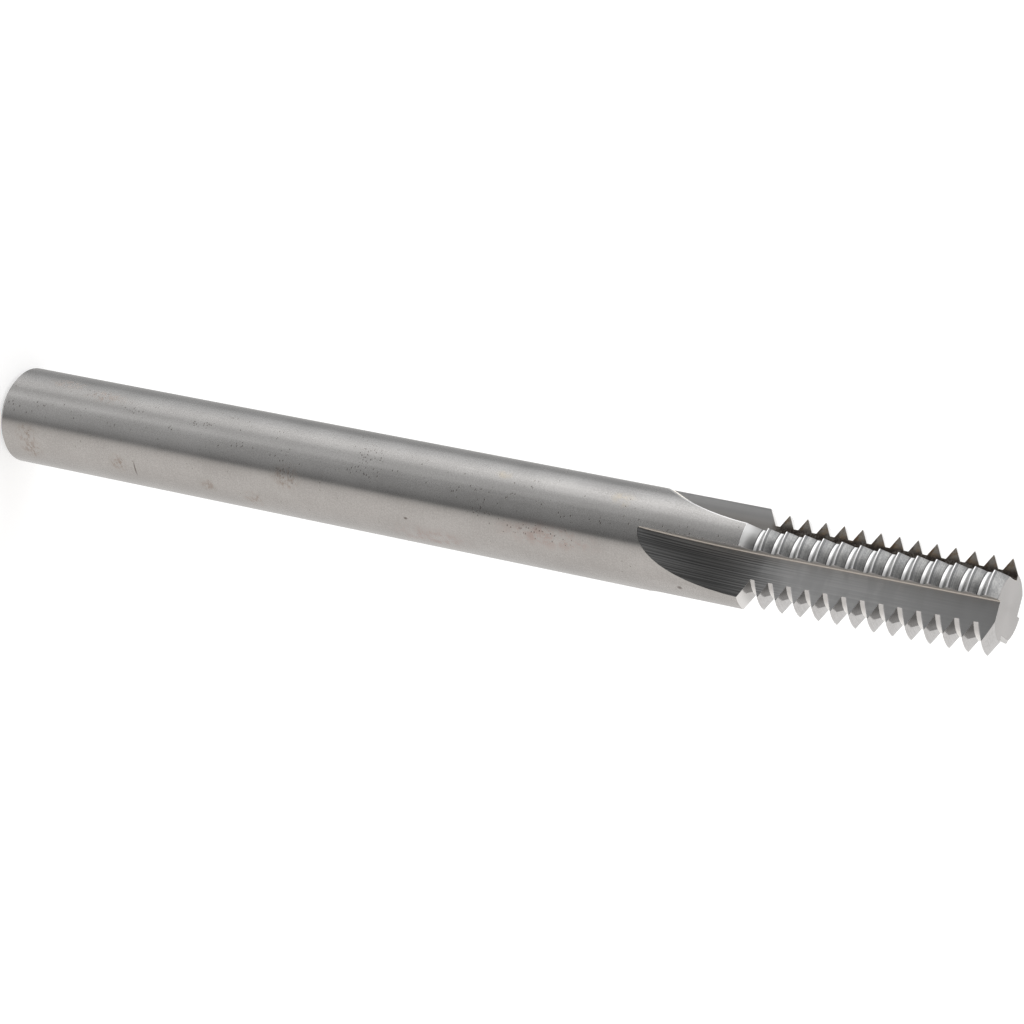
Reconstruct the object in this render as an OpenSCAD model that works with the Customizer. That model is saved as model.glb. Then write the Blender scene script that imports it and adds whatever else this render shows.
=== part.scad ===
// Straight-flute thread mill, ground from one round rod of tungsten carbide.
// It stands on its shank end at the origin, with the cutting end at the top of +Z.
// It cuts right-handed: seen from the cutting end, the edges lead counterclockwise.

/* [Shank] */
// Diameter of the round shank, five sixteenths of an inch
shank_d = 7.9375; // [7.8:0.0125:12.7]
// Overall length, from the shank end to the cutting end
overall_length = 88.9; // [60:0.1:130]
// Bevel round the edge of the shank end
shank_bevel = 0.4; // [0.1:0.05:1]

/* [Teeth] */
// Pitch of the thread that the mill cuts, from one tooth to the next
tooth_pitch = 1.5; // [1.3:0.01:2]
// Teeth in each row
tooth_count = 13; // [3:1:16]
// Diameter over the cutting edges at the crests
cutter_d = 7.41; // [6.8:0.01:7.7]
// Angle between the two flanks of a tooth, in degrees
thread_angle = 60; // [50:1:62]
// Height of a tooth from root to crest
tooth_height = 0.95; // [0.5:0.01:1.05]
// Width of the flat on each crest
crest_flat = 0.04; // [0.02:0.01:0.15]
// Distance from the last crest to the cutting end
end_margin = 0.66; // [0.4:0.01:0.8]
// Clearance ground behind each cutting edge, in degrees
relief_angle = 1; // [0.5:0.1:5]

/* [Flutes] */
// Straight flutes, one in front of each row of teeth
flute_count = 4; // [3:1:5]
// Distance of each flute's floor from the axis at the cutting end
floor_r = 2.08; // [1.7:0.01:2.3]
// Lean of the floor towards the axis on its way to the shank, in degrees
floor_taper = 0.6; // [0:0.1:1]
// Hook of the rake face behind the radius through its edge, in degrees
rake_angle = 2.6; // [0:0.1:8]
// Angle between a flute's rake face and its floor, in degrees
flute_angle = 88; // [84:0.5:94]
// Length of straight floor, from the cutting end to the start of the run-out
flute_length = 18.8; // [10:0.1:40]
// Diameter of the grinding wheel, which the run-out follows
wheel_d = 47; // [30:1:150]
// Radius of the wheel's corner, left between rake face and floor
wheel_corner = 0.12; // [0.05:0.01:0.3]

/* [Hidden] */
$fn = 96;
shank_r = shank_d / 2;
cutter_r = cutter_d / 2;
root_r = cutter_r - tooth_height;
flank_slope = tan(thread_angle / 2);
// Half of the width of a tooth at its root
root_half = crest_flat / 2 + tooth_height * flank_slope;
last_crest_z = overall_length - end_margin;
first_crest_z = last_crest_z - (tooth_count - 1) * tooth_pitch;
// The first groove's lower flank, carried out to the shank, makes the shoulder
groove_z = first_crest_z + root_half - tooth_pitch;
shoulder_z = groove_z - (shank_r - root_r) * flank_slope;
flute_step = 360 / flute_count;
wheel_r = wheel_d / 2;
// Cuts reach this far past the rod
clear = 1;
reach = max(shank_r, cutter_r) + clear;
corner_steps = 4;
// Share of the step between flutes that a row takes behind its edge
row_span = 0.7;

// Axial section of one tooth, from the root below it to the root above it
function tooth(crest_z) = [
    [root_r, crest_z - root_half],
    [cutter_r, crest_z - crest_flat / 2],
    [cutter_r, crest_z + crest_flat / 2],
    [root_r, crest_z + root_half]
];

// Axial section of a row: its teeth, with the last flank carried on to the end face
module row_section() {
    end_r = cutter_r - (end_margin - crest_flat / 2) / flank_slope;
    last_tooth = tooth(last_crest_z);
    polygon(concat(
        [[0, shoulder_z], [root_r, shoulder_z]],
        [for (i = [0:tooth_count - 2]) each tooth(first_crest_z + i * tooth_pitch)],
        [for (i = [0:2]) last_tooth[i]],
        [[end_r, overall_length], [0, overall_length]]
    ));
}

// One row of teeth and its share of the core. It is ground about an axis set off
// from the rod's, so that it falls away behind its edge by the relief angle.
module tooth_row() {
    intersection() {
        translate([cutter_r * (1 - cos(relief_angle)), cutter_r * sin(relief_angle), 0])
            rotate_extrude() row_section();
        rotate(-row_span * flute_step)
            rotate_extrude(angle = flute_step)
                translate([0, shoulder_z]) square([reach, overall_length - shoulder_z]);
    }
}

// The plain rod, up to the shoulder and a short neck inside the rows
module rod() {
    neck_r = root_r - 2 * cutter_r * sin(relief_angle);
    rotate_extrude() polygon([
        [0, 0],
        [shank_r - shank_bevel, 0],
        [shank_r, shank_bevel],
        [shank_r, shoulder_z],
        [neck_r, shoulder_z + (shank_r - neck_r) * flank_slope],
        [0, shoulder_z + (shank_r - neck_r) * flank_slope]
    ]);
}

// Half section of the grinding wheel: its flat side cuts the rake face and its rim the floor
module wheel_section() {
    lean = 90 - flute_angle;
    corner_x = wheel_r - wheel_corner * (1 + sin(lean)) / cos(lean);
    polygon(concat(
        [for (i = [0:corner_steps])
            let (turn = -90 + (90 + lean) * i / corner_steps)
            [corner_x + wheel_corner * cos(turn), wheel_corner * (1 + sin(turn))]],
        [[wheel_r - 2 * reach * tan(lean), 2 * reach], [wheel_r - reach, 2 * reach], [wheel_r - reach, 0]]
    ));
}

// A flute: the wheel's straight pass from the cutting end, and the run-out where it stops
module flute() {
    rotate(rake_angle)
        translate([floor_r, -cutter_r * sin(rake_angle), overall_length])
            rotate([0, floor_taper, 0])
                translate([wheel_r, 0, -flute_length]) {
                    mirror([1, 0, 0]) linear_extrude(flute_length + clear) wheel_section();
                    rotate([90, 0, 180]) rotate(-90) rotate_extrude(angle = 90) wheel_section();
                }
}

module thread_mill() color("silver") difference() {
    union() {
        rod();
        for (row = [0:flute_count - 1]) rotate(row * flute_step) tooth_row();
    }
    for (row = [0:flute_count - 1]) rotate(row * flute_step) flute();
}

thread_mill();
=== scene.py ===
import math

import bpy
from mathutils import Matrix, Vector


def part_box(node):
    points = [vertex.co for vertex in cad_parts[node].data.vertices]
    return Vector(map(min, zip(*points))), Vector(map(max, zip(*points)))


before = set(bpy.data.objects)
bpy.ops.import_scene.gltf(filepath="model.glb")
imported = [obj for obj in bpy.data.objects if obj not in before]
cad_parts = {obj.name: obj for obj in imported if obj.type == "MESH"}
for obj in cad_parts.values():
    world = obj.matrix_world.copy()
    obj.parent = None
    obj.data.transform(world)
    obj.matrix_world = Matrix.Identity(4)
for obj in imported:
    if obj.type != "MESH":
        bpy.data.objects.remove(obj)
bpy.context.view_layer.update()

# The thread mill, one piece of tungsten carbide ground from a round rod and left uncoated.
# It has been used: its shank is pitted and stained, and brown oil is baked on its rake faces.
# This section tells its surfaces apart, and the ones after it give each its finish.
MM = 1000.0
TIP_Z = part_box("thread_mill")[1].z * MM
SHOULDER_Z = TIP_Z - 20.3
CORE_R = 2.6
ROOT_R = 2.755
# Limits on a face's normal: its share along the tool for flanks, roots and end faces, and its
# share away from the axis for round faces and rake walls
FLANK_LEAN = 0.6
ROOT_LEAN = 0.3
END_LEAN = 0.9
ROUND_LOOK = 0.985
WALL_LOOK = 0.15
ALONG_TOOL = Vector((0.0, 0.0, 1.0))
ACROSS_TOOL = Vector((1.0, 1.0, 0.0))


def put(tree, kind, **settings):
    """A new shader node of that kind, with its properties set."""
    node = tree.nodes.new("ShaderNode" + kind)
    for name, value in settings.items():
        setattr(node, name, value)
    return node


def feed(tree, socket, value):
    """Links another node's output to the socket, or sets a plain value on it."""
    if isinstance(value, bpy.types.NodeSocket):
        tree.links.new(value, socket)
    else:
        socket.default_value = value


def calc(tree, operation, *values):
    """The output of a Math node that takes these values."""
    node = put(tree, "Math", operation=operation)
    for socket, value in zip(node.inputs, values):
        feed(tree, socket, value)
    return node.outputs[0]


def along(tree, operation, *values):
    """The output of a Vector Math node: a number for a dot product or a length."""
    node = put(tree, "VectorMath", operation=operation)
    for socket, value in zip(node.inputs, values):
        feed(tree, socket, value)
    return node.outputs["Value" if operation in ("DOT_PRODUCT", "LENGTH") else "Vector"]


def both(tree, first, *others):
    """The product of masks and shares."""
    for other in others:
        first = calc(tree, "MULTIPLY", first, other)
    return first


carbide = bpy.data.materials.new("ground_carbide")
carbide.use_nodes = True
tree = carbide.node_tree
shader = tree.nodes["Principled BSDF"]
place = along(tree, "MULTIPLY", put(tree, "TexCoord").outputs["Object"], Vector((MM, MM, MM)))
normal = put(tree, "NewGeometry").outputs["Normal"]
across = along(tree, "MULTIPLY", place, ACROSS_TOOL)
radial = along(tree, "NORMALIZE", across)
radius = along(tree, "LENGTH", across)
height = along(tree, "DOT_PRODUCT", place, ALONG_TOOL)
outward = along(tree, "DOT_PRODUCT", normal, radial)
tipward = along(tree, "DOT_PRODUCT", normal, ALONG_TOOL)
steep = calc(tree, "ABSOLUTE", tipward)

not_round = calc(tree, "LESS_THAN", outward, ROUND_LOOK)
inside = calc(tree, "MAXIMUM", not_round, calc(tree, "LESS_THAN", radius, CORE_R))
flute = both(tree, calc(tree, "LESS_THAN", steep, FLANK_LEAN), inside)
wall = both(tree, flute, calc(tree, "LESS_THAN", outward, WALL_LOOK))
end_face = calc(tree, "GREATER_THAN", steep, END_LEAN)
flute_or_end = calc(tree, "MAXIMUM", flute, end_face)
above = calc(tree, "GREATER_THAN", height, SHOULDER_Z)
teeth = both(tree, above, calc(tree, "SUBTRACT", 1.0, flute_or_end))
root = both(tree, teeth, calc(tree, "LESS_THAN", radius, ROOT_R + 0.1))
root = both(tree, root, calc(tree, "LESS_THAN", steep, ROOT_LEAN))
shank = calc(tree, "SUBTRACT", 1.0, calc(tree, "MAXIMUM", flute_or_end, teeth))

# The shank, ground round between two wheels, which leave fine rings on it. Handling has left it
# mottled. The grains made here for it also serve the teeth and the wear.
SHANK_DARK = (0.405, 0.395, 0.385, 1.0)
SHANK_PALE = (0.475, 0.465, 0.455, 1.0)


def step(tree, value, low, high):
    """0 below low and 1 above high, with a smooth rise between them; high may be the lower one."""
    node = put(tree, "MapRange", interpolation_type="SMOOTHSTEP")
    flip = high < low
    feed(tree, node.inputs["Value"], value)
    node.inputs["From Min"].default_value = min(low, high)
    node.inputs["From Max"].default_value = max(low, high)
    node.inputs["To Min"].default_value = 1.0 if flip else 0.0
    node.inputs["To Max"].default_value = 0.0 if flip else 1.0
    return node.outputs["Result"]


def fade(tree, factor, first, second):
    """A colour that goes from the first one to the second as the factor goes from 0 to 1."""
    node = put(tree, "Mix", data_type="RGBA")
    feed(tree, node.inputs["Factor"], factor)
    feed(tree, node.inputs["A"], first)
    feed(tree, node.inputs["B"], second)
    return node.outputs["Result"]


def grain(tree, place, cells_per_mm, detail=2.0):
    """Noise with a middle of 0.5, its cells set by their number per mm along x, y and z."""
    node = put(tree, "TexNoise")
    feed(tree, node.inputs["Vector"], along(tree, "MULTIPLY", place, Vector(cells_per_mm)))
    node.inputs["Scale"].default_value = 1.0
    node.inputs["Detail"].default_value = detail
    return node.outputs["Fac"]


def weigh(tree, *parts):
    """The sum of values, each given with its weight."""
    total = 0.0
    for value, weight in parts:
        total = calc(tree, "MULTIPLY_ADD", value, weight, total)
    return total


rings = grain(tree, place, (0.25, 0.25, 9.0))
cloud = grain(tree, place, (0.35, 0.35, 0.22), 3.0)
blot = grain(tree, place, (1.3, 1.3, 1.3), 3.0)
speck = grain(tree, place, (8.0, 8.0, 8.0))
mottle = step(tree, weigh(tree, (speck, 0.5), (cloud, 0.38), (rings, 0.12)), 0.36, 0.64)
colour = fade(tree, mottle, SHANK_DARK, SHANK_PALE)

# The teeth, all ground at once by a wheel dressed to their V, which leaves hoops on the flanks.
# One row is duller than the other three, and light and shade are painted on it: a painted
# highlight on the polished line of each crest with a painted dark reflection beside it, roots
# painted bright on one side and shaded on the other, and painted shade at the foot of each flank.
# Every root carries a painted highlight. The flanks that face the shank carry painted shade on the
# other three rows and painted light on the dull one.
PITCH = 1.5
ROOT_Z = TIP_Z - 0.66 - PITCH / 2
CREST_R = 3.705
CONE_Z = SHOULDER_Z + 1.0
# Directions across the tool; turns round it are counted from OVER to FRONT
OVER = Vector((-0.26926, 0.96307, 0.0))
FRONT = Vector((-0.96307, -0.26926, 0.0))
FLANK_DARK = (0.42, 0.418, 0.418, 1.0)
FLANK_PALE = (0.49, 0.488, 0.488, 1.0)
DULL_DARK = (0.28, 0.281, 0.283, 1.0)
DULL_PALE = (0.49, 0.485, 0.475, 1.0)
CONE_DARK = (0.42, 0.415, 0.41, 1.0)
CONE_PALE = (0.60, 0.595, 0.59, 1.0)
BACK_FLANK_SHADE = (0.26, 0.26, 0.26, 1.0)
DULL_BACK_FLANK_LIT = (0.64, 0.64, 0.64, 1.0)
FOOT_SHADE = (0.12, 0.12, 0.12, 1.0)
CREST_DARK_REFLECTION = (0.13, 0.13, 0.135, 1.0)
ROOT_HIGHLIGHT = (0.70, 0.695, 0.69, 1.0)
ROOT_SHADE = (0.30, 0.30, 0.30, 1.0)
CREST_HIGHLIGHT = (0.80, 0.795, 0.79, 1.0)
END_FACE = (0.345, 0.337, 0.331, 1.0)

# The dull row: rougher, with more pits near it, and with light and shade painted on its teeth
dull_row_with_painted_light = along(tree, "DOT_PRODUCT", radial, (OVER + FRONT).normalized())
dull_row_with_painted_light = step(tree, dull_row_with_painted_light, 0.6, 0.8)
profile = put(tree, "CombineXYZ")
feed(tree, profile.inputs["X"], radius)
feed(tree, profile.inputs["Y"], height)
hoops = grain(tree, profile.outputs["Vector"], (14.0, 14.0, 0.0))
ground = step(tree, weigh(tree, (speck, 0.35), (blot, 0.25), (hoops, 0.4)), 0.38, 0.62)
flank = fade(tree, ground, FLANK_DARK, FLANK_PALE)
flank = fade(tree, dull_row_with_painted_light, flank, fade(tree, ground, DULL_DARK, DULL_PALE))
cone_colour = fade(tree, step(tree, radius, 3.0, 3.8), CONE_DARK, CONE_PALE)
flank = fade(tree, step(tree, height, CONE_Z, CONE_Z - 0.3), flank, cone_colour)
colour = fade(tree, teeth, colour, flank)

# The flanks that face the shank: painted shade on three rows, painted light on the dull row
back_flank = both(tree, teeth, calc(tree, "LESS_THAN", tipward, -FLANK_LEAN))
colour = fade(tree, back_flank, colour, fade(tree, dull_row_with_painted_light, BACK_FLANK_SHADE, DULL_BACK_FLANK_LIT))
# Painted shade in a line at the foot of the dull row's flanks, beside the roots
foot_shade = both(tree, teeth, dull_row_with_painted_light, calc(tree, "LESS_THAN", radius, ROOT_R + 0.05))
foot_shade = both(tree, foot_shade, calc(tree, "LESS_THAN", height, TIP_Z - 0.4))
colour = fade(tree, both(tree, foot_shade, 0.7), colour, FOOT_SHADE)
dull_teeth = both(tree, teeth, dull_row_with_painted_light, calc(tree, "GREATER_THAN", height, CONE_Z))
# A painted dark reflection in a line beside each crest of the dull row
crest_dark_reflection = both(tree, dull_teeth, step(tree, radius, CREST_R - 0.30, CREST_R - 0.25))
crest_dark_reflection = both(tree, crest_dark_reflection, calc(tree, "GREATER_THAN", tipward, FLANK_LEAN))
colour = fade(tree, both(tree, crest_dark_reflection, 0.65), colour, CREST_DARK_REFLECTION)
# Every root is painted pale as a painted highlight; on the dull row its tip half is painted shade
from_root = calc(tree, "WRAP", calc(tree, "SUBTRACT", height, ROOT_Z), PITCH / 2, -PITCH / 2)
shaded_root_half = both(tree, dull_row_with_painted_light, step(tree, from_root, 0.02, 0.08))
colour = fade(tree, root, colour, fade(tree, shaded_root_half, ROOT_HIGHLIGHT, ROOT_SHADE))
# A painted highlight on the polished crests of the dull row
crest = both(tree, dull_teeth, step(tree, radius, CREST_R - 0.10, CREST_R - 0.07))
colour = fade(tree, crest, colour, CREST_HIGHLIGHT)
colour = fade(tree, end_face, colour, END_FACE)

# The flutes, each ground by a wheel that ran along the tool and was lifted out past the shoulder.
# Its flat side cut the rake wall and its rim the floor, with fine lines along both. They are
# coarser and darker in the run-out, and behind one of these the wheel broke the edge to a rim,
# which carries a painted highlight.
STRAIGHT_Z = TIP_Z - 18.8
RAKE = math.radians(2.6)
WALL_OFFSET = 0.168
FLOOR_LEAN = math.tan(math.radians(2.0))
WHEEL_R = 23.5
WHEEL_OUT = 25.38
WHEEL_Z = TIP_Z - 19.07
FLOOR_DARK = (0.60, 0.60, 0.60, 1.0)
FLOOR_PALE = (0.70, 0.697, 0.695, 1.0)
FLOOR_AT_TIP = (0.38, 0.38, 0.38, 1.0)
FLOOR_BLOOM = (0.52, 0.52, 0.52, 1.0)
RUN_OUT_DARK = (0.22, 0.22, 0.22, 1.0)
RUN_OUT_PALE = (0.50, 0.50, 0.50, 1.0)
WALL_DARK = (0.56, 0.555, 0.55, 1.0)
WALL_PALE = (0.65, 0.645, 0.64, 1.0)
WALL_LOW = (0.42, 0.39, 0.36, 1.0)
CORNER = (0.64, 0.60, 0.55, 1.0)
RIM_HIGHLIGHT = (0.74, 0.735, 0.73, 1.0)

facing_x = calc(tree, "ABSOLUTE", along(tree, "DOT_PRODUCT", normal, Vector((1.0, 0.0, 0.0))))
facing_y = calc(tree, "ABSOLUTE", along(tree, "DOT_PRODUCT", normal, Vector((0.0, 1.0, 0.0))))
along_x = along(tree, "MULTIPLY", place, Vector((1.0, 0.0, 1.0)))
along_y = along(tree, "MULTIPLY", place, Vector((0.0, 1.0, 1.0)))
in_plane = fade(tree, calc(tree, "GREATER_THAN", facing_x, facing_y), along_x, along_y)
lines = grain(tree, in_plane, (11.0, 11.0, 0.045))
bands = grain(tree, in_plane, (2.6, 2.6, 0.03), 1.0)
bloom = grain(tree, in_plane, (0.5, 0.5, 1.1))
streaks = step(tree, weigh(tree, (bands, 0.3), (lines, 0.7)), 0.36, 0.64)
floor_colour = fade(tree, streaks, FLOOR_DARK, FLOOR_PALE)
near_tip = step(tree, height, TIP_Z - 12.0, TIP_Z)
floor_colour = fade(tree, both(tree, near_tip, 0.6), floor_colour, FLOOR_AT_TIP)
bloom = step(tree, bloom, 0.40, 0.62)
floor_colour = fade(tree, both(tree, bloom, 0.5), floor_colour, FLOOR_BLOOM)
run_out = step(tree, height, STRAIGHT_Z + 3.2, STRAIGHT_Z - 1.0)
coarse = fade(tree, step(tree, lines, 0.40, 0.62), RUN_OUT_DARK, RUN_OUT_PALE)
floor_colour = fade(tree, run_out, floor_colour, coarse)
wall_colour = fade(tree, step(tree, bands, 0.38, 0.62), WALL_DARK, WALL_PALE)
low_wall = both(tree, step(tree, radius, 3.4, 2.7), 0.6)
wall_colour = fade(tree, low_wall, wall_colour, WALL_LOW)
flute_colour = fade(tree, wall, floor_colour, wall_colour)
corner = calc(tree, "GREATER_THAN", calc(tree, "MINIMUM", facing_x, facing_y), 0.2)
flute_colour = fade(tree, both(tree, flute, corner), flute_colour, CORNER)
colour = fade(tree, flute, colour, flute_colour)

out_of_floor = Vector((-math.sin(RAKE), math.cos(RAKE), 0.0))
out_of_wall = Vector((-math.cos(RAKE), -math.sin(RAKE), 0.0))
from_axis = along(tree, "DOT_PRODUCT", place, out_of_floor)
from_wall = calc(tree, "ADD", along(tree, "DOT_PRODUCT", place, out_of_wall), WALL_OFFSET)
from_wheel = put(tree, "CombineXYZ")
feed(tree, from_wheel.inputs["X"], calc(tree, "SUBTRACT", from_axis, WHEEL_OUT))
feed(tree, from_wheel.inputs["Y"], calc(tree, "SUBTRACT", height, WHEEL_Z))
from_wheel = along(tree, "LENGTH", from_wheel.outputs["Vector"])
from_wheel = calc(tree, "MULTIPLY_ADD", from_wall, FLOOR_LEAN, from_wheel)
# A painted highlight on a thin rim of the shank along one flute's run-out
rim = both(tree, shank, step(tree, from_wheel, WHEEL_R + 0.08, WHEEL_R + 0.04))
rim = both(tree, rim, calc(tree, "GREATER_THAN", from_axis, 0.0))
rim = both(tree, rim, calc(tree, "GREATER_THAN", from_wall, 0.0))
colour = fade(tree, rim, colour, RIM_HIGHLIGHT)

# The wear. Old coolant has pitted and stained the shank in patches, some of them faintly straw or
# rose. Oil has baked brown on the rake faces of the teeth and burnt black towards their roots;
# only one face was kept clean.
SHANK_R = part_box("thread_mill")[1].x * MM
# Patches on the shank: place along the tool in mm, turn in degrees, length and width in mm
PITS = [(3.9, 29, 1.8, 1.0), (6.0, 34, 2.2, 1.2), (8.8, 41, 3.6, 1.4), (12.8, 55, 2.4, 1.6),
        (19.5, 56, 3.0, 1.6), (23.5, 67, 2.4, 1.6), (28.5, 89, 3.6, 2.0), (35.8, 58, 4.2, 4.8),
        (46.6, 88, 2.6, 2.0), (51.5, 104, 11.0, 1.6), (14.0, 205, 4.0, 3.0), (39.0, 262, 5.0, 4.0)]
STAINS = [(2.9, 110, 3.0, 2.6), (3.2, 129, 3.0, 3.0), (12.1, 124, 2.2, 2.4), (21.0, 130, 2.2, 1.8),
          (25.3, 138, 2.8, 2.4), (28.7, 99, 3.8, 3.0), (5.5, 33, 5.4, 1.8), (9.8, 43, 6.0, 2.0),
          (9.0, 300, 5.0, 4.0), (31.0, 228, 6.0, 3.4)]
ROSE = [(52.5, 106, 12.0, 2.8), (42.0, 141, 10.0, 3.0), (24.0, 280, 9.0, 3.6), (55.0, 215, 8.0, 3.0)]
STRAW = [(47.7, 44, 2.0, 1.2), (58.0, 47, 3.0, 2.0), (40.0, 300, 4.0, 2.4)]
NICKS = [(39.9, 119, 0.5, 0.32), (63.8, 140, 0.6, 0.5), (13.8, 127, 0.2, 2.0)]
STAIN_COLOUR = (0.26, 0.185, 0.14, 1.0)
ROSE_COLOUR = (0.36, 0.27, 0.245, 1.0)
STRAW_COLOUR = (0.50, 0.44, 0.34, 1.0)
PIT_COLOUR = (0.13, 0.11, 0.10, 1.0)
NICK_COLOUR = (0.09, 0.07, 0.06, 1.0)
VARNISH_PALE = (0.42, 0.39, 0.345, 1.0)
VARNISH_BROWN = (0.29, 0.215, 0.14, 1.0)
SOOT = (0.06, 0.05, 0.045, 1.0)
AMBER = (0.165, 0.112, 0.068, 1.0)


def patches(tree, place, marks):
    """1 inside the marks on the shank, with a soft rim."""
    mask = 0.0
    for z, turn, length, width in marks:
        turn = math.radians(turn)
        middle = SHANK_R * (math.cos(turn) * OVER + math.sin(turn) * FRONT) + Vector((0.0, 0.0, z))
        away = along(tree, "SUBTRACT", place, middle)
        away = along(tree, "MULTIPLY", away, Vector((2 / width, 2 / width, 2 / length)))
        mask = calc(tree, "MAXIMUM", mask, step(tree, along(tree, "LENGTH", away), 1.0, 0.2))
    return mask


patchy = weigh(tree, (blot, 0.55), (speck, 0.45))
fleck = weigh(tree, (grain(tree, place, (2.6, 2.6, 4.0), 3.0), 0.6), (speck, 0.4))
stain = both(tree, patches(tree, place, STAINS), step(tree, fleck, 0.42, 0.66))
rose = both(tree, patches(tree, place, ROSE), step(tree, patchy, 0.42, 0.62))
straw = both(tree, patches(tree, place, STRAW), step(tree, blot, 0.38, 0.66))
# Each cell may hold a pit: many do in the pitted patches, and few elsewhere
cells = put(tree, "TexVoronoi")
feed(tree, cells.inputs["Vector"], along(tree, "MULTIPLY", place, Vector((3.8, 3.8, 6.0))))
cells.inputs["Scale"].default_value = 1.0
luck = along(tree, "DOT_PRODUCT", cells.outputs["Color"], Vector((1.0, 0.0, 0.0)))
scattered = both(tree, step(tree, blot, 0.42, 0.60), calc(tree, "MULTIPLY_ADD", dull_row_with_painted_light, 0.45, 0.30))
chance = weigh(tree, (luck, 1.0), (patches(tree, place, PITS), 0.6), (scattered, 0.24))
pits = both(tree, step(tree, chance, 1.0, 1.1), step(tree, cells.outputs["Distance"], 0.46, 0.12))
pits = both(tree, pits, shank)
nicks = patches(tree, place, NICKS)
for mask, share, tint in ((stain, 0.55, STAIN_COLOUR), (rose, 0.6, ROSE_COLOUR),
                          (straw, 0.5, STRAW_COLOUR), (pits, 0.7, PIT_COLOUR),
                          (nicks, 0.75, NICK_COLOUR)):
    colour = fade(tree, both(tree, mask, share), colour, tint)

oil = both(tree, wall, step(tree, height, SHOULDER_Z + 0.2, SHOULDER_Z + 1.2))
oil = both(tree, oil, step(tree, along(tree, "DOT_PRODUCT", radial, FRONT), 0.9, 0.7))
varnish = fade(tree, step(tree, patchy, 0.42, 0.60), VARNISH_PALE, VARNISH_BROWN)
colour = fade(tree, both(tree, oil, 0.85), colour, varnish)
edge = both(tree, step(tree, from_root, 0.1, 0.25), step(tree, from_root, 0.7, 0.4), 0.85)
ragged = calc(tree, "MULTIPLY_ADD", calc(tree, "SUBTRACT", patchy, 0.5), 1.6, radius)
burnt = calc(tree, "MAXIMUM", step(tree, ragged, 3.15, 2.7), edge)
thick = calc(tree, "MULTIPLY_ADD", step(tree, patchy, 0.40, 0.58), 0.35, 0.65)
amber = both(tree, step(tree, blot, 0.47, 0.60), step(tree, radius, 2.70, 2.95))
colour = fade(tree, both(tree, oil, burnt, thick), colour, fade(tree, amber, SOOT, AMBER))

# The ground surface itself: how rough each face is, the honed edges and the hollow roots. The
# marks of the wheels stand in it, and light spreads across them and not along them.
SHANK_ROUGH = 0.17
ROOT_HALF = 0.18
HONE_R = 0.06
MARK_DEPTH = 0.002

rough = calc(tree, "MULTIPLY_ADD", cloud, 0.10, SHANK_ROUGH)
flank_rough = calc(tree, "MULTIPLY_ADD", dull_row_with_painted_light, 0.26, -0.12)
root_rough = calc(tree, "MULTIPLY_ADD", dull_row_with_painted_light, -0.3, 0.35)
root_or_crest = calc(tree, "MAXIMUM", root, crest)
rough = weigh(tree, (rough, 1.0), (teeth, flank_rough), (root_or_crest, root_rough),
              (flute, 0.10), (wall, 0.06), (pits, 0.2), (stain, 0.2))

honed = put(tree, "Bevel", samples=6)
honed.inputs["Radius"].default_value = HONE_R / MM
hollow = put(tree, "CombineXYZ")
feed(tree, hollow.inputs["Z"], both(tree, from_root, -0.25 / ROOT_HALF, root, dull_row_with_painted_light))
bent = along(tree, "ADD", honed.outputs["Normal"], hollow.outputs["Vector"])
tilt = along(tree, "MULTIPLY", both(tree, root, dull_row_with_painted_light, 0.18), OVER)
bent = along(tree, "NORMALIZE", along(tree, "ADD", bent, tilt))
flute_relief = both(tree, lines, calc(tree, "MULTIPLY_ADD", run_out, 0.6, 0.4))
relief = fade(tree, flute, both(tree, rings, 0.4), flute_relief)
relief = calc(tree, "MULTIPLY_ADD", pits, -2.0, relief)
bump = put(tree, "Bump")
bump.inputs["Strength"].default_value = 1.0
bump.inputs["Distance"].default_value = MARK_DEPTH / MM
feed(tree, bump.inputs["Height"], relief)
feed(tree, bump.inputs["Normal"], bent)

round_tool = along(tree, "CROSS_PRODUCT", ALONG_TOOL, across)
wheel_marks = fade(tree, flute, round_tool, (0.0, 0.0, 1.0, 1.0))
tangent = along(tree, "NORMALIZE", along(tree, "CROSS_PRODUCT", normal, wheel_marks))
shader.inputs["Metallic"].default_value = 1.0
shader.inputs["Anisotropic"].default_value = 0.7
feed(tree, shader.inputs["Tangent"], tangent)
feed(tree, shader.inputs["Base Color"], colour)
feed(tree, shader.inputs["Roughness"], rough)
feed(tree, shader.inputs["Normal"], bump.outputs["Normal"])
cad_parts["thread_mill"].data.materials[0] = carbide

# The floor that the tool stands on, a plain sheet of pale paper. It keeps the tool's shadow, and
# the tool mirrors the studio's table in its place.
FLOOR_SIZE = 40.0
FLOOR_GREY = (0.6, 0.6, 0.6, 1.0)
FLOOR_GLOW = 0.55
bpy.ops.mesh.primitive_plane_add(size=FLOOR_SIZE)
floor = bpy.context.object
floor.name = "floor"
floor.visible_glossy = False
paper = bpy.data.materials.new("floor_paper")
paper.use_nodes = True
tree = paper.node_tree
shader = tree.nodes["Principled BSDF"]
shader.inputs["Base Color"].default_value = FLOOR_GREY
shader.inputs["Roughness"].default_value = 1.0
shader.inputs["Emission Color"].default_value = (1.0, 1.0, 1.0, 1.0)
rays = put(tree, "LightPath")
glow = calc(tree, "MULTIPLY", rays.outputs["Is Camera Ray"], FLOOR_GLOW)
feed(tree, shader.inputs["Emission Strength"], glow)
floor.data.materials.append(paper)

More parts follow.
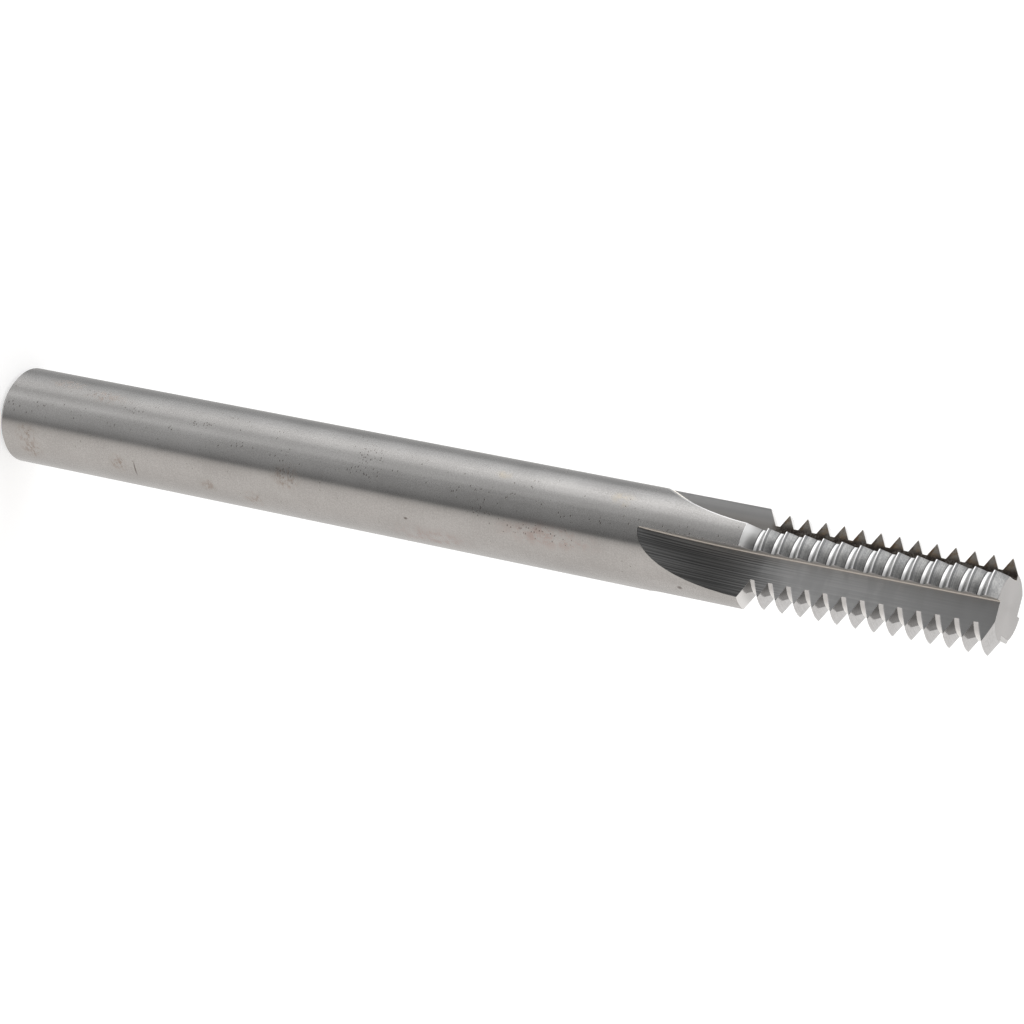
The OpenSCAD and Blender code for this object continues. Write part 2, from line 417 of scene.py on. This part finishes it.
# The studio: a softbox over the tool, a lamp beyond its tip, a white table under it, and a dark
# side. Levels are set by the turn round the tool in degrees, from OVER to FRONT, and in each
# zone a factor is set by the way along the tool, from -1 at the shank to 1 at the tip.
RING = [(-180, 0.89), (-150, 0.81), (-133, 0.82), (-120, 0.79), (-100, 0.66), (-80, 0.58),
        (-68, 0.515), (-60, 0.48), (-44, 0.455), (-36, 0.52), (-30, 0.75), (-20, 0.92), (-10, 1.09),
        (0, 1.22), (10, 1.23), (18, 1.12), (26, 0.88), (34, 0.76), (44, 0.70), (50, 0.51),
        (59, 0.43), (75, 0.385), (91, 0.30), (103, 0.19), (106, 0.33), (110, 0.58), (115, 0.74),
        (122, 0.84), (130, 0.90), (150, 0.94), (180, 0.89)]
DARK_SIDE = [(-180, 0.0), (26, 0.0), (46, 1.0), (102, 1.0), (110, 0.0), (180, 0.0)]
DARK_FALL = [(-1.0, 2.8), (-0.72, 2.6), (-0.6, 1.5), (-0.53, 1.2), (-0.47, 1.0), (-0.43, 0.9),
             (-0.40, 0.88), (-0.365, 0.62), (-0.3, 0.3), (-0.2, 0.18), (-0.05, 0.2), (0.1, 0.28),
             (0.4, 0.36), (1.0, 0.6)]
SOFTBOX = [(-180, 0.0), (-165, 0.62), (-125, 0.62), (-110, 1.0), (12, 1.0), (30, 0.0), (180, 0.0)]
SOFTBOX_RISE = [(-1.0, 1.0), (-0.37, 1.0), (-0.31, 2.3), (0.1, 2.3), (0.3, 1.9), (0.4, 1.7),
                (0.6, 1.3), (1.0, 1.3)]
LAMP = [(-180, 0.0), (-75, 0.0), (-58, 1.0), (-5, 1.0), (10, 0.0), (180, 0.0)]
LAMP_RISE = [(-1.0, 1.0), (0.62, 1.0), (0.74, 1.8), (0.86, 1.8), (0.95, 1.0), (1.0, 1.0)]
TABLE = [(-180, 0.0), (-170, 1.0), (-125, 1.0), (-112, 0.0), (180, 0.0)]
TABLE_RISE = [(-1.0, 1.0), (0.4, 1.0), (0.6, 1.18), (1.0, 1.25)]
FAR_TOP = [(-180, 0.0), (-50, 0.0), (-35, 1.0), (22, 1.0), (32, 0.0), (180, 0.0)]
FAR_FALL = [(-1.0, 0.3), (-0.68, 0.45), (-0.59, 0.76), (-0.54, 1.0), (-0.48, 0.97), (-0.43, 0.87),
            (-0.36, 0.92), (-0.3, 1.0), (1.0, 1.0)]
WARM_SIDE = [(-180, 1.0), (-120, 0.6), (-95, 0.5), (-60, 0.25), (-45, 0.0), (-20, 0.0), (5, 0.3),
             (30, 0.2), (102, 0.15), (112, 1.0), (180, 1.0)]
COOL_LIGHT = (0.99, 1.0, 1.01, 1.0)
WARM_LIGHT = (1.03, 0.993, 0.96, 1.0)


def ramp(tree, value, stops):
    """Grey levels at places from 0 to 1, with straight lines between them."""
    node = put(tree, "ValToRGB")
    feed(tree, node.inputs["Fac"], value)
    points = node.color_ramp.elements
    while len(points) < len(stops):
        points.new(0.5)
    for point, (place, level) in zip(points, stops):
        point.position = place
        point.color = (level, level, level, 1.0)
    return node.outputs["Color"]


def by_turn(tree, turn, levels):
    """Levels set at angles round the tool."""
    return ramp(tree, turn, [((angle + 180) / 360, level) for angle, level in levels])


def zone(tree, level, turn, tipward, weights, factors):
    """The level times a factor set along the tool, in the part of the ring that has a weight."""
    most = max(factor for way, factor in factors)
    stops = [((way + 1) / 2, factor / most) for way, factor in factors]
    factor = ramp(tree, calc(tree, "MULTIPLY_ADD", tipward, 0.5, 0.5), stops)
    change = calc(tree, "MULTIPLY_ADD", factor, most, -1.0)
    change = calc(tree, "MULTIPLY", change, by_turn(tree, turn, weights))
    return calc(tree, "MULTIPLY", level, calc(tree, "ADD", change, 1.0))


world = bpy.data.worlds.new("studio")
bpy.context.scene.world = world
world.use_nodes = True
tree = world.node_tree
way = put(tree, "TexCoord").outputs["Generated"]
over = along(tree, "DOT_PRODUCT", way, OVER)
front = along(tree, "DOT_PRODUCT", way, FRONT)
tipward = along(tree, "DOT_PRODUCT", way, ALONG_TOOL)
turn = calc(tree, "MULTIPLY_ADD", calc(tree, "ARCTAN2", front, over), 0.5 / math.pi, 0.5)
brightest = max(level for angle, level in RING)
level = by_turn(tree, turn, [(angle, level / brightest) for angle, level in RING])
level = calc(tree, "MULTIPLY", level, brightest)
for weights, factors in ((DARK_SIDE, DARK_FALL), (SOFTBOX, SOFTBOX_RISE), (LAMP, LAMP_RISE),
                         (TABLE, TABLE_RISE), (FAR_TOP, FAR_FALL)):
    level = zone(tree, level, turn, tipward, weights, factors)
light = fade(tree, by_turn(tree, turn, WARM_SIDE), COOL_LIGHT, WARM_LIGHT)
light = along(tree, "MULTIPLY", light, level)
rays = put(tree, "LightPath")
light = fade(tree, rays.outputs["Is Camera Ray"], light, (1.0, 1.0, 1.0, 1.0))
feed(tree, tree.nodes["Background"].inputs["Color"], light)

# The camera, set where the photograph was taken from. The tool lies across the picture, so the
# camera is rolled by more than a quarter turn.
AZIMUTH = math.radians(-169.7594)
ELEVATION = math.radians(28.2479)
ROLL = math.radians(101.2526)
DISTANCE = 0.2762706
AIM = Vector((0.0000306, -0.0001694, 0.0473477))
IMAGE_PX = 1024
FOCAL_PX = 3544.607
HALF_PIXEL = 0.5 / IMAGE_PX
SENSOR = 36.0
NEAREST = 0.01
camera = bpy.data.objects.new("camera", bpy.data.cameras.new("camera"))
bpy.context.scene.collection.objects.link(camera)
level_part = math.cos(ELEVATION)
back = Vector((level_part * math.cos(AZIMUTH), level_part * math.sin(AZIMUTH), math.sin(ELEVATION)))
upright = back.to_track_quat("Z", "Y").to_matrix().to_4x4()
camera.rotation_mode = "QUATERNION"
camera.rotation_quaternion = (Matrix.Rotation(ROLL, 4, back) @ upright).to_quaternion()
camera.location = AIM + DISTANCE * back
camera.data.sensor_fit = "HORIZONTAL"
camera.data.sensor_width = SENSOR
camera.data.lens = SENSOR * FOCAL_PX / IMAGE_PX
camera.data.shift_x = -HALF_PIXEL
camera.data.shift_y = HALF_PIXEL
camera.data.clip_start = NEAREST
bpy.context.scene.camera = camera

bpy.context.scene.view_settings.view_transform = "Standard"
